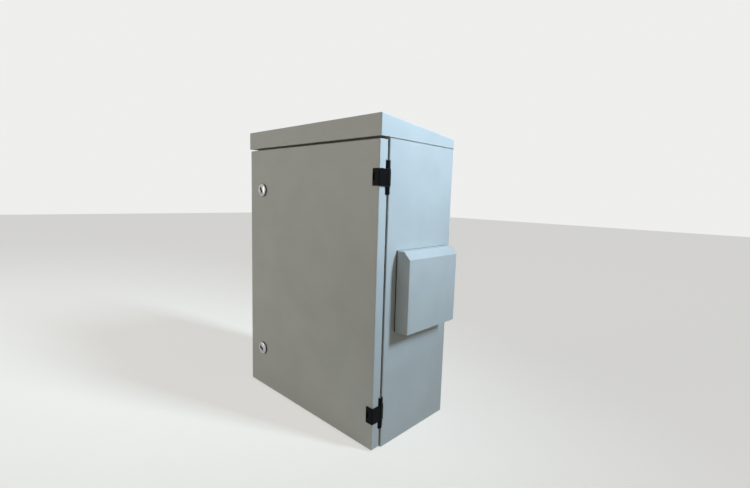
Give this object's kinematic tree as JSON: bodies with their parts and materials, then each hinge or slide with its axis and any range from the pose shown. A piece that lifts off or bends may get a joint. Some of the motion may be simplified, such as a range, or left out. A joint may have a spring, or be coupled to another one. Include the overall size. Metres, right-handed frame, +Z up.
{
  "type": "electrical distribution box",
  "caption": "Outdoor electrical distribution box with a sloping rain roof, hinged lockable door, side vent hoods, fan, breakers, rails and a cable gland plate.",
  "frame": {"origin": "at the base, midway between the sides and midway between the lock heads in front and the back sheet", "axes": "+Z up, +Y from the door to the wall, +X to the right seen from the front"},
  "size_m": [0.4806, 0.224, 0.5998],
  "materials": {
    "painted_steel": "fine orange-peel powder coat, semi-matt",
    "zinc_steel": "zinc plated",
    "chrome": "polished chrome",
    "black_diecast": "matt black coat on die-cast zinc",
    "black_rubber": "matt rubber",
    "black_plastic": "matt moulded",
    "grey_plastic": "matt moulded",
    "white_plastic": "satin moulded",
    "blue_plastic": "satin moulded",
    "filter_fleece": "coarse fleece",
    "brass": "bare brass"
  },
  "bodies": {
    "housing": {"bar_clamp_screws": "zinc_steel", "branch_breaker_1_case": "white_plastic", "branch_breaker_2_case": "white_plastic", "branch_breaker_3_case": "white_plastic", "branch_breaker_4_case": "white_plastic", "cable_grommets": "black_rubber", "din_rail_lower": "zinc_steel", "din_rail_upper": "zinc_steel", "earth_bar": "brass", "earth_bar_feet": "zinc_steel", "equipment_screws": "zinc_steel", "fan_frame": "black_plastic", "fan_guard": "zinc_steel", "filter_frame": "grey_plastic", "filter_mat": "filter_fleece", "gland_plate": "zinc_steel", "gland_screws": "zinc_steel", "hinge_leaf_screws": "zinc_steel", "hinge_lower_leaf": "black_diecast", "hinge_pins": "zinc_steel", "hinge_upper_leaf": "black_diecast", "hood_gasket_left": "black_rubber", "hood_gasket_right": "black_rubber", "hood_nuts": "zinc_steel", "housing_shell": "painted_steel", "main_breaker_case": "grey_plastic", "mounting_plate": "zinc_steel", "neutral_bar": "brass", "neutral_bar_feet": "blue_plastic", "plate_nuts": "zinc_steel", "rail_screws": "zinc_steel", "roof_bolts": "zinc_steel", "roof_bracket_left": "zinc_steel", "roof_bracket_right": "zinc_steel", "roof_cap": "painted_steel", "terminal_blocks": "grey_plastic", "vent_hood_left": "painted_steel", "vent_hood_right": "painted_steel", "vent_screws": "zinc_steel"},
    "door": {"door_panel": "painted_steel", "door_gasket": "black_rubber", "door_stiffener": "painted_steel", "hinge_upper_block": "black_diecast", "hinge_lower_block": "black_diecast", "hinge_block_screws": "zinc_steel", "lock_housings": "chrome", "lock_nuts": "zinc_steel"},
    "upper_lock": {"lock_upper_core": "zinc_steel", "lock_upper_cam": "zinc_steel", "lock_upper_cam_bolt": "zinc_steel"},
    "lower_lock": {"lock_lower_core": "zinc_steel", "lock_lower_cam": "zinc_steel", "lock_lower_cam_bolt": "zinc_steel"},
    "main_toggle": {"main_breaker_toggle": "black_plastic"},
    "branch_toggle_1": {"branch_breaker_1_toggle": "blue_plastic"},
    "branch_toggle_2": {"branch_breaker_2_toggle": "blue_plastic"},
    "branch_toggle_3": {"branch_breaker_3_toggle": "blue_plastic"},
    "branch_toggle_4": {"branch_breaker_4_toggle": "blue_plastic"},
    "rotor": {"fan_rotor": "black_plastic"}
  },
  "joints": [
    {"name": "door_swing", "type": "hinge", "parent": "housing", "child": "door", "pos_m": [0.206, -0.0855, 0.281], "axis": [0, 0, 1], "range_deg": [0, 120]},
    {"name": "upper_lock_turn", "type": "hinge", "parent": "door", "child": "upper_lock", "pos_m": [-0.155, -0.0806, 0.468], "axis": [0, 1, 0], "range_deg": [0, 90]},
    {"name": "lower_lock_turn", "type": "hinge", "parent": "door", "child": "lower_lock", "pos_m": [-0.155, -0.0806, 0.094], "axis": [0, 1, 0], "range_deg": [0, 90]},
    {"name": "main_switch", "type": "hinge", "parent": "housing", "child": "main_toggle", "pos_m": [-0.06, 0.0349, 0.43], "axis": [-1, 0, 0], "range_deg": [0, 50]},
    {"name": "branch_switch_1", "type": "hinge", "parent": "housing", "child": "branch_toggle_1", "pos_m": [-0.0846, 0.01815, 0.265], "axis": [-1, 0, 0], "range_deg": [0, 50]},
    {"name": "branch_switch_2", "type": "hinge", "parent": "housing", "child": "branch_toggle_2", "pos_m": [-0.0482, 0.01815, 0.265], "axis": [-1, 0, 0], "range_deg": [0, 50]},
    {"name": "branch_switch_3", "type": "hinge", "parent": "housing", "child": "branch_toggle_3", "pos_m": [-0.0118, 0.01815, 0.265], "axis": [-1, 0, 0], "range_deg": [0, 50]},
    {"name": "branch_switch_4", "type": "hinge", "parent": "housing", "child": "branch_toggle_4", "pos_m": [0.0246, 0.01815, 0.265], "axis": [-1, 0, 0], "range_deg": [0, 50]},
    {"name": "fan_spin", "type": "hinge", "parent": "housing", "child": "rotor", "pos_m": [-0.195, 0.019, 0.432], "axis": [1, 0, 0], "continuous": true}
  ]
}
